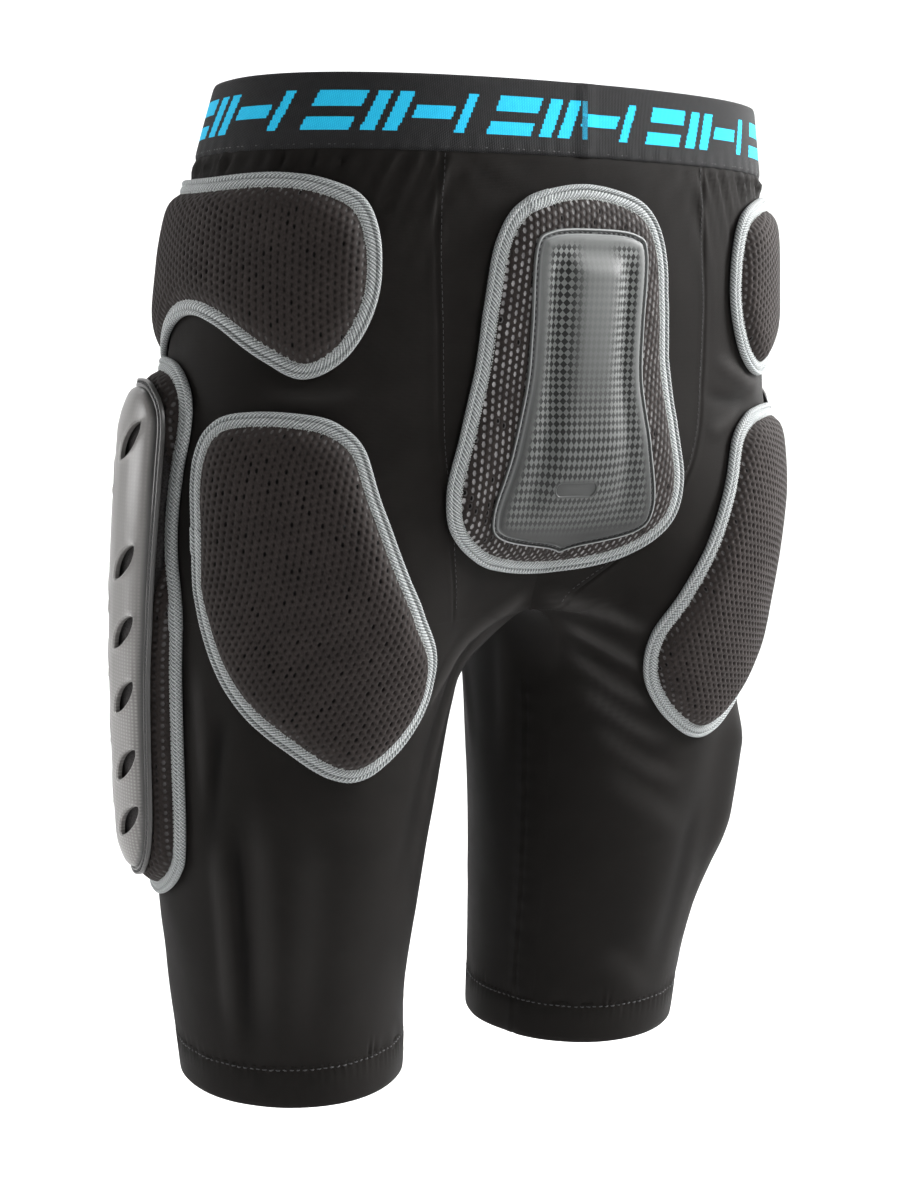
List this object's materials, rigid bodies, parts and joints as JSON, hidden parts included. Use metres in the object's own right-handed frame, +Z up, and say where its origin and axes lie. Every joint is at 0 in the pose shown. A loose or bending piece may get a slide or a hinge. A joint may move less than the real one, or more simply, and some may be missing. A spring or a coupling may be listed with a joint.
{
  "type": "padded impact shorts",
  "caption": "Close-fitting protective shorts with tailbone, hip, seat and thigh pads in bound mesh covers, a moulded tailbone plate and slotted thigh shells.",
  "frame": {"origin": "centre of the waistband's top edge, at the wearer's waist", "axes": "+Z up along the wearer's body, -Y to the wearer's front, +X to the wearer's left"},
  "size_m": [0.434, 0.2413, 0.568],
  "materials": {
    "stretch_fabric": "matte to satin charcoal-black knitted stretch jersey",
    "waist_elastic": "woven black elastic with a woven-in cyan pattern of slanted bars",
    "spacer_mesh": "black-brown open spacer mesh",
    "binding_tape": "light grey melange twill binding tape",
    "foam": "closed-cell foam",
    "moulded_plate": "satin moulded plate with a fine gloss and matte check",
    "shell_plastic": "satin grey injection-moulded plastic with a fine check texture"
  },
  "bodies": {
    "pelvis": {"waistband": "waist_elastic", "back_centre_panel": "stretch_fabric", "front_centre_panel": "stretch_fabric", "crotch_gusset": "stretch_fabric", "tailbone_foam": "foam", "tailbone_mesh_cover": "spacer_mesh", "tailbone_binding": "binding_tape", "tailbone_plate": "moulded_plate", "left_hip_foam": "foam", "left_hip_mesh_cover": "spacer_mesh", "left_hip_binding": "binding_tape", "right_hip_foam": "foam", "right_hip_mesh_cover": "spacer_mesh", "right_hip_binding": "binding_tape"},
    "left_leg": {"left_leg_panel": "stretch_fabric", "left_hem": "stretch_fabric", "left_glute_foam": "foam", "left_glute_mesh_cover": "spacer_mesh", "left_glute_binding": "binding_tape", "left_thigh_foam": "foam", "left_thigh_mesh_cover": "spacer_mesh", "left_thigh_binding": "binding_tape", "left_thigh_shell": "shell_plastic"},
    "right_leg": {"right_leg_panel": "stretch_fabric", "right_hem": "stretch_fabric", "right_glute_foam": "foam", "right_glute_mesh_cover": "spacer_mesh", "right_glute_binding": "binding_tape", "right_thigh_foam": "foam", "right_thigh_mesh_cover": "spacer_mesh", "right_thigh_binding": "binding_tape", "right_thigh_shell": "shell_plastic"}
  },
  "joints": [
    {"name": "left_hip_swing", "type": "hinge", "parent": "pelvis", "child": "left_leg", "pos_m": [0.1, -0.031, -0.18], "axis": [-1, 0, 0], "range_deg": [-10, 45], "deforming": ["left_leg_panel"]},
    {"name": "right_hip_swing", "type": "hinge", "parent": "pelvis", "child": "right_leg", "pos_m": [-0.1, -0.031, -0.18], "axis": [-1, 0, 0], "range_deg": [-10, 45], "deforming": ["right_leg_panel"]}
  ]
}
